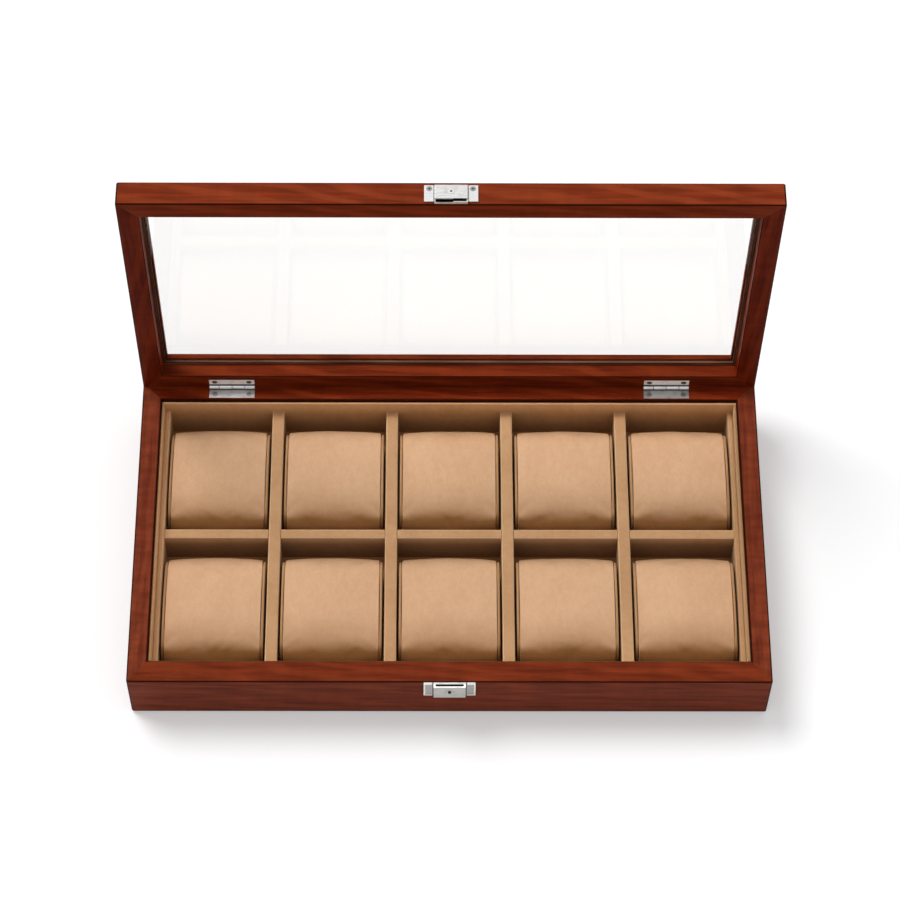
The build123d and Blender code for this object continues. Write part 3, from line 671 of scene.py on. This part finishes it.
def makeMetal(name, finish):
    material, tree, shader, place = newMaterial(name + "Nickel")
    strokes = useGroup(tree, -700, 0, brushing, Vector=place, Base=finish["base"], Spread=finish["spread"])
    share = calc(tree, -450, 0, "MULTIPLY", strokes["Stain"], finish["stain"])
    color = mixColor(tree, -200, 100, "MIX", share, finish["color"], metalLook["stainColor"])
    # painted shade on rounded edges, and at the marks below
    edge = useGroup(tree, -700, -350, arris, **softEdge)["Mask"]
    shade = calc(tree, -450, -350, "MULTIPLY", edge, finish["arris"])
    across = mirrored(tree, -1100, 500, place)
    for index, (dark, bands) in enumerate(finish["marks"]):
        held = dark
        for step, (band, values) in enumerate(bands):
            height = 500 + 350 * index + 150 * step
            mask = useGroup(tree, -700, height, band, Vector=across, **values)["Mask"]
            held = calc(tree, -450, height, "MULTIPLY", mask, held)
        shade = calc(tree, -200, 500 + 350 * index, "MAXIMUM", shade, held)
    wire(tree, mixColor(tree, 100, 100, "MIX", shade, color, metalLook["markShadeColor"]), shader["Base Color"])
    wire(tree, strokes["Roughness"], shader["Roughness"])
    brushed = bump(tree, 200, -300, strokes["Height"], metalLook["strokeDepth"], finish["bump"])
    wire(tree, brushed, shader["Normal"])
    shader["Metallic"].default_value = 1.0
    return material


metals = {name: makeMetal(name, finish) for name, finish in metalLook["finishes"].items()}

# Glass, and the plain panel under the case

glassLook = {"color": tone(254, 255, 254), "ior": 1.45, "roughness": 0.0, "specular": 0.08}


def makeGlass():
    material, tree, shader = newMaterial("windowGlass")[:3]
    shader["Base Color"].default_value = glassLook["color"]
    shader["Roughness"].default_value = glassLook["roughness"]
    shader["IOR"].default_value = glassLook["ior"]
    shader["Specular IOR Level"].default_value = glassLook["specular"]
    shader["Transmission Weight"].default_value = 1.0
    # light from the lamp passes, so the pane throws no dark shadow
    path = addNode(tree, "ShaderNodeLightPath", 300, 400)
    clear = addNode(tree, "ShaderNodeBsdfTransparent", 600, 300)
    either = addNode(tree, "ShaderNodeMixShader", 900, 200)
    wire(tree, path.outputs["Is Shadow Ray"], either.inputs[0])
    wire(tree, tree.nodes["Principled BSDF"].outputs[0], either.inputs[1])
    wire(tree, clear.outputs[0], either.inputs[2])
    wire(tree, either.outputs[0], tree.nodes["Material Output"].inputs["Surface"])
    return material


glass = makeGlass()

panelLook = {
    "seed": 21.0,
    "light": tone(196, 160, 118),
    "dark": tone(160, 122, 84),
    "flame": tone(206, 174, 132),
    "flameShare": 0.4,
    "curl": 0.05,
    "poreDepth": 0.0001,
    "poreStrength": 0.4,
    "roughness": 0.6,
    "specular": 0.3,
}


def makePanelWood():
    material, tree, shader, place = newMaterial("panelWood")
    wood = useGroup(tree, -700, 0, grain, Vector=place, Seed=panelLook["seed"], Light=panelLook["light"],
                    Dark=panelLook["dark"], Flame=panelLook["flame"], FlameShare=panelLook["flameShare"],
                    Curl=panelLook["curl"])
    wire(tree, wood["Color"], shader["Base Color"])
    pores = bump(tree, 200, -300, wood["Height"], panelLook["poreDepth"], panelLook["poreStrength"])
    wire(tree, pores, shader["Normal"])
    shader["Roughness"].default_value = panelLook["roughness"]
    shader["Specular IOR Level"].default_value = panelLook["specular"]
    return material


panelWood = makePanelWood()

# Each node's finish: dividers and the front panel, which aren't listed, are the insert's suede

finishes = {
    "case_front_rail": woods["caseFront"],
    "case_rear_rail": woods["caseRear"],
    "case_left_rail": woods["caseSide"],
    "case_right_rail": woods["caseSide"],
    "lid_front_rail": woods["lidFront"],
    "lid_rear_rail": woods["lidRear"],
    "lid_left_rail": woods["lidSide"],
    "lid_right_rail": woods["lidSide"],
    "glass_bead_front": woods["bead"],
    "glass_bead_rear": woods["bead"],
    "glass_bead_left": woods["beadUpright"],
    "glass_bead_right": woods["beadUpright"],
    "bottom_panel": panelWood,
    "lining_floor": suedes["lining"],
    "lining_rear": suedes["lining"],
    "lining_front": suedes["liningFrontShaded"],
    "lining_left": suedes["liningLeftLit"],
    "lining_right": suedes["liningRight"],
    "side_panel_left": suedes["insertLeftLit"],
    "side_panel_right": suedes["insertRight"],
    "base_felt": suedes["felt"],
    "lid_glass": glass,
    "lock_plate": metals["lockPlate"],
    "lock_case": metals["lockCase"],
    "lock_barrel": metals["barrel"],
    "lock_hook": metals["hook"],
    "catch_plate": metals["catchPlate"],
    "catch_block": metals["catchBlock"],
    "catch_rivet": metals["rivet"],
    "catch_screws": metals["catchScrew"],
    "hinge_left_case_leaf": metals["caseLeaf"],
    "hinge_right_case_leaf": metals["caseLeaf"],
    "hinge_left_lid_leaf": metals["lidLeafLit"],
    "hinge_right_lid_leaf": metals["lidLeafLit"],
    "hinge_pins": metals["hingeScrew"],
    "hinge_case_screws": metals["hingeScrew"],
    "hinge_lid_screws": metals["hingeScrew"],
}
for name, piece in nodes.items():
    if name.startswith("cushion_"):
        finish = suedes["cushion"]
    else:
        finish = finishes.get(name, suedes["insert"])
    if not piece.material_slots:
        piece.data.materials.append(finish)
    for place in piece.material_slots:
        place.material = finish
print("materials on the frame's nodes")


# Watch cushions: a wrap blown up as cloth, and sewn at each end to a narrower panel

cushionLook = {
    "count": 10,
    "height": 0.0255,
    "depth": 0.0656,
    "halfLength": 0.0255,  # of the wrap, without the end panels
    "panel": 0.0016,
    "belly": 0.0125,  # height of the section's widest place
    "shoulder": 0.0085,
    "crown": 0.0013,  # how much the section shrinks towards the ends
    "cornerReach": 0.0012,  # corners seen from above, along the length
    "cornerDepth": 0.0009,  # and from front to back
    "step": 0.0007,  # from the wrap down to an end panel
    "edgeRound": 0.0007,
    "seamDepth": 0.0016,
    "seamWidth": 0.0004,
    "around": 80,
    "along": 26,
    "overSteps": 23,  # points on the section's top, each side and base
    "sideSteps": 14,
    "baseSteps": 16,
    "slack": 0.0005,  # how much smaller the wrap is cut before it fills out
    "lumps": 0.00025,
    "lumpScale": 70.0,
    "lumpFrom": 0.003,  # height over the base, which stays flat
    "heldBase": 0.0012,  # what is sewn: up to here over the base,
    "heldEdge": 0.4,  # and this share of the rolled edge
    "roll": (0.35, 0.7, 1.0),
    "panelRound": 0.48,
    "panelSteps": 4,
    "panelOverlap": 0.0002,
    "fill": 0.9,
}

clothLook = {
    "frames": 20,
    "quality": 5,
    "pressure": 9.0,
    "pressureSpread": 2.0,  # no two cushions are filled alike
    "spreadStep": 0.618,
    "tension": 4.0,
    "bending": 0.15,
    "mass": 0.1,
    "cap": 0.0012,  # furthest that a point may move
}


def sectionOutline(insetY, insetZ):
    # front to back over the top, as tangent arcs, and back along a flat base
    half = cushionLook["depth"] / 2 - insetY
    top = cushionLook["height"] - insetZ
    belly, turn = cushionLook["belly"], cushionLook["shoulder"]
    rise = top - belly
    shoulderY = half - turn
    radius = (shoulderY ** 2 + rise ** 2 - turn ** 2) / (2 * (rise - turn))
    lean = atan2(shoulderY, radius - rise)
    count = cushionLook["overSteps"]
    angles = [-lean + 2 * lean * step / count for step in range(count + 1)]
    over = [(radius * sin(angle), top - radius + radius * cos(angle)) for angle in angles]
    side = []
    count = cushionLook["sideSteps"]
    for step in range(1, count + 1):
        angle = lean + (pi / 2 - lean) * step / count
        side.append((shoulderY + turn * sin(angle), belly + turn * cos(angle)))
    for step in range(1, count + 1):
        angle = pi / 2 * step / count
        side.append((half - belly + belly * cos(angle), belly - belly * sin(angle)))
    count = cushionLook["baseSteps"]
    base = [(side[-1][0] * (1 - 2 * step / count), 0.0) for step in range(1, count)]
    return over + side + base + [(-y, z) for y, z in reversed(side)]


def evenPoints(outline, count):
    lengths = [0.0]
    for start, end in zip(outline, outline[1:] + outline[:1]):
        lengths.append(lengths[-1] + hypot(end[0] - start[0], end[1] - start[1]))
    points = []
    index = 0
    for step in range(count):
        goal = lengths[-1] * step / count
        while lengths[index + 1] < goal:
            index += 1
        start, end = outline[index], outline[(index + 1) % len(outline)]
        share = (goal - lengths[index]) / max(lengths[index + 1] - lengths[index], 1e-9)
        points.append((start[0] + (end[0] - start[0]) * share, start[1] + (end[1] - start[1]) * share))
    return points


def cushionRing(origin, x, inset=0.0):
    # the section gets smaller towards the ends, and its corners round off seen from above
    half, reach = cushionLook["halfLength"], cushionLook["cornerReach"]
    crown = cushionLook["crown"] * min(abs(x) / half, 1.0) ** 2
    share = min(max((abs(x) - half + reach) / reach, 0.0), 1.0)
    corner = cushionLook["cornerDepth"] * (1 - sqrt(1 - share ** 2))
    points = evenPoints(sectionOutline(crown + corner + inset, crown + inset), cushionLook["around"])
    return [origin + Vector((x, y, z)) for y, z in points]


def ringMesh(name, rings, material):
    # a closed skin through equal rings of points
    mesh = bpy.data.meshes.new(name)
    shape = bmesh.new()
    rows = [[shape.verts.new(point) for point in ring] for ring in rings]
    for first, second in zip(rows, rows[1:]):
        for index in range(len(first)):
            after = (index + 1) % len(first)
            shape.faces.new((first[index], first[after], second[after], second[index]))
    for row, flip in ((rows[0], True), (rows[-1], False)):
        centre = shape.verts.new(sum((vert.co for vert in row), Vector()) / len(row))
        for index in range(len(row)):
            after = (index + 1) % len(row)
            corners = (row[after], row[index], centre) if flip else (row[index], row[after], centre)
            shape.faces.new(corners)
    bmesh.ops.recalc_face_normals(shape, faces=shape.faces)
    for face in shape.faces:
        face.smooth = True
    shape.to_mesh(mesh)
    shape.free()
    mesh.materials.append(material)
    piece = bpy.data.objects.new(name, mesh)
    scene.collection.objects.link(piece)
    return piece


def cushionOrigin(number):
    low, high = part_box("cushion_" + str(number))
    return Vector(((low.x + high.x) / 2, (low.y + high.y) / 2, low.z))


def cutWrap(number):
    origin = cushionOrigin(number)
    half, edge, slack = cushionLook["halfLength"], cushionLook["edgeRound"], cushionLook["slack"]
    flat = half - edge
    count = cushionLook["along"]
    places = [(flat * (2 * step / count - 1), slack) for step in range(count + 1)]
    # the wrap's edge rolls over into the seam
    edges = []
    for turn in cushionLook["roll"]:
        angle = pi / 2 * turn
        edges.append((flat + edge * sin(angle), slack * (1 - sin(angle)) + edge * (1 - cos(angle))))
    edges.append((half, edge + cushionLook["seamDepth"]))
    places = [(-x, inset) for x, inset in reversed(edges)] + places + edges
    rings = [cushionRing(origin, x, inset) for x, inset in places]
    for ring in rings[len(edges):-len(edges)]:
        for index, point in enumerate(ring):
            away = Vector((0, point.y - origin.y, point.z - origin.z - cushionLook["belly"]))
            if point.z - origin.z > cushionLook["lumpFrom"]:
                lump = noise.noise(point * cushionLook["lumpScale"])
                ring[index] = point + away.normalized() * cushionLook["lumps"] * lump
    wrap = ringMesh("cushion_wrap_" + str(number), rings, suedes["cushion"])
    # base and seams hold still while the rest fills out
    held = []
    for vert in wrap.data.vertices:
        offset = vert.co - origin
        if offset.z < cushionLook["heldBase"] or abs(offset.x) > half - edge * cushionLook["heldEdge"]:
            held.append(vert.index)
    wrap.vertex_groups.new(name="sewn").add(held, 1.0, "REPLACE")
    return wrap


def fillWraps(wraps):
    for index, wrap in enumerate(wraps):
        cloth = wrap.modifiers.new("filling", "CLOTH")
        settings = cloth.settings
        settings.quality = clothLook["quality"]
        settings.mass = clothLook["mass"]
        settings.tension_stiffness = clothLook["tension"]
        settings.compression_stiffness = clothLook["tension"]
        settings.shear_stiffness = clothLook["tension"]
        settings.bending_stiffness = clothLook["bending"]
        settings.use_pressure = True
        share = index * clothLook["spreadStep"] % 1 - 0.5
        settings.uniform_pressure_force = clothLook["pressure"] + clothLook["pressureSpread"] * share
        settings.vertex_group_mass = "sewn"
        settings.effector_weights.gravity = 0
        cloth.collision_settings.use_collision = False
        cloth.point_cache.frame_start = 1
        cloth.point_cache.frame_end = clothLook["frames"]
    for frame in range(1, clothLook["frames"] + 1):
        scene.frame_set(frame)
    graph = bpy.context.evaluated_depsgraph_get()
    most = 0.0
    for wrap in wraps:
        filled = wrap.evaluated_get(graph).data
        moves = [after.co - before.co for after, before in zip(filled.vertices, wrap.data.vertices)]
        wrap.modifiers.clear()
        for vert, move in zip(wrap.data.vertices, moves):
            most = max(most, move.length)
            if move.length > clothLook["cap"]:
                move = move * (clothLook["cap"] / move.length)
            vert.co += move
    scene.frame_set(1)
    print("wraps filled, furthest move", round(most * 1000, 2), "mm")


def smoothWrap(wrap):
    wrap.modifiers.new("finer", "SUBSURF").levels = 1
    graph = bpy.context.evaluated_depsgraph_get()
    finer = bpy.data.meshes.new_from_object(wrap.evaluated_get(graph))
    wrap.modifiers.clear()
    wrap.vertex_groups.clear()
    wrap.data = finer


def sewPanels(number, wrap):
    origin = cushionOrigin(number)
    inset, depth = cushionLook["step"], cushionLook["seamDepth"]
    half, panel = cushionLook["halfLength"], cushionLook["panel"]
    start = half + cushionLook["seamWidth"]
    turn = (panel - cushionLook["seamWidth"]) * cushionLook["panelRound"]
    outer = half + panel - turn
    count = cushionLook["panelSteps"]
    arcs = [pi / 2 * step / count for step in range(count + 1)]
    places = [(half - cushionLook["panelOverlap"], inset + depth), (start, inset + depth)]
    places += [(start + turn - turn * cos(angle), inset + turn * (1 - sin(angle))) for angle in arcs]
    places += [(outer + turn * sin(angle), inset + turn * (1 - cos(angle))) for angle in arcs[1:]]
    pieces = [wrap]
    for side, label in ((-1, "left"), (1, "right")):
        rings = [cushionRing(origin, side * x, extra) for x, extra in places]
        pieces.append(ringMesh("cushion_end_" + str(number) + "_" + label, rings, suedes["cushionEnd"]))
    for piece in pieces:
        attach(piece, "cushion_" + str(number))
    for piece in pieces[1:]:
        place = piece.matrix_world.copy()
        piece.parent = wrap
        piece.matrix_world = place
    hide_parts("cushion_" + str(number))


wraps = [cutWrap(number) for number in range(1, cushionLook["count"] + 1)]
fillWraps(wraps)
for number, wrap in enumerate(wraps, 1):
    smoothWrap(wrap)
    sewPanels(number, wrap)
print("cushions in place")


# Floor, light and camera

floorLook = {"size": 6.0, "color": (0.78, 0.78, 0.78, 1.0), "glow": 0.27}


def makeFloor():
    mesh = bpy.data.meshes.new("floor")
    half = floorLook["size"] / 2
    corners = [(-half, -half, 0), (half, -half, 0), (half, half, 0), (-half, half, 0)]
    mesh.from_pydata(corners, [], [(0, 1, 2, 3)])
    floor = bpy.data.objects.new("floor", mesh)
    scene.collection.objects.link(floor)
    material = bpy.data.materials.new("paleFloor")
    material.use_nodes = True
    tree = material.node_tree
    tree.nodes.clear()
    path = addNode(tree, "ShaderNodeLightPath", -600, 0)
    seen = calc(tree, -400, 0, "MAXIMUM", path.outputs["Is Camera Ray"], path.outputs["Is Glossy Ray"])
    seen = calc(tree, -200, 0, "MAXIMUM", seen, path.outputs["Is Transmission Ray"])
    paint = addNode(tree, "ShaderNodeBsdfDiffuse", 0, 200)
    paint.inputs["Color"].default_value = floorLook["color"]
    glow = addNode(tree, "ShaderNodeEmission", 0, 0)
    wire(tree, calc(tree, -100, -200, "MULTIPLY", seen, floorLook["glow"]), glow.inputs["Strength"])
    both = addNode(tree, "ShaderNodeAddShader", 200, 100)
    wire(tree, paint.outputs[0], both.inputs[0])
    wire(tree, glow.outputs[0], both.inputs[1])
    end = addNode(tree, "ShaderNodeOutputMaterial", 400, 100)
    wire(tree, both.outputs[0], end.inputs["Surface"])
    mesh.materials.append(material)


lightLook = {
    "horizon": 0.33,
    "zenith": 0.68,
    "lampLevel": 1.78,
    "lampSpread": 28.0,  # degrees, for soft shadows
    "lampTilt": 33.0,  # away from straight down
    "lampFrom": 138.0,  # compass angle of the lamp, behind and to the left
}


def makeLight():
    world = bpy.data.worlds.new("studio")
    scene.world = world
    world.use_nodes = True
    tree = world.node_tree
    sky = tree.nodes["Background"]
    place = addNode(tree, "ShaderNodeTexCoord", -1000, -200)
    split = addNode(tree, "ShaderNodeSeparateXYZ", -800, -200)
    wire(tree, place.outputs["Generated"], split.inputs[0])
    level = remap(tree, -600, -200, split.outputs["Z"], 0.0, 1.0, lightLook["horizon"], lightLook["zenith"])
    path = addNode(tree, "ShaderNodeLightPath", -800, 200)
    seen = path.outputs["Is Camera Ray"]
    seen = calc(tree, -600, 200, "MAXIMUM", seen, path.outputs["Is Transmission Ray"])
    seen = calc(tree, -400, 200, "MAXIMUM", seen, path.outputs["Is Glossy Ray"])
    wire(tree, calc(tree, -200, 0, "MAXIMUM", seen, level), sky.inputs["Strength"])
    sky.inputs["Color"].default_value = (1, 1, 1, 1)
    lamp = bpy.data.lights.new("overheadLamp", "SUN")
    lamp.energy = lightLook["lampLevel"]
    lamp.angle = radians(lightLook["lampSpread"])
    key = bpy.data.objects.new("overheadLamp", lamp)
    scene.collection.objects.link(key)
    turn, tilt = radians(lightLook["lampFrom"]), radians(lightLook["lampTilt"])
    start = Vector((sin(tilt) * cos(turn), sin(tilt) * sin(turn), cos(tilt)))
    key.location = start
    key.rotation_euler = (-start).to_track_quat("-Z", "Y").to_euler()


cameraLook = {
    "lens": 120.11,
    "sensor": 36.0,
    "shift": -0.12,
    "place": (-0.0092054, -0.7545526, 1.4800611),
    "pitch": 58.8192,  # below the horizon
    "yaw": -0.6374,
    "roll": 0.6447,
}


def makeCamera():
    lens = bpy.data.cameras.new("photoView")
    lens.lens = cameraLook["lens"]
    lens.sensor_width = cameraLook["sensor"]
    lens.shift_y = cameraLook["shift"]
    view = bpy.data.objects.new("photoView", lens)
    scene.collection.objects.link(view)
    yaw = Matrix.Rotation(radians(cameraLook["yaw"]), 3, "Z")
    tilt = Matrix.Rotation(radians(90 - cameraLook["pitch"]), 3, "X")
    roll = Matrix.Rotation(radians(cameraLook["roll"]), 3, "Z")
    view.rotation_euler = (yaw @ tilt @ roll).to_euler()
    view.location = cameraLook["place"]
    scene.camera = view


makeFloor()
makeLight()
makeCamera()
scene.view_settings.view_transform = "Standard"
print("floor, light and camera ready")

bpy.context.view_layer.update()
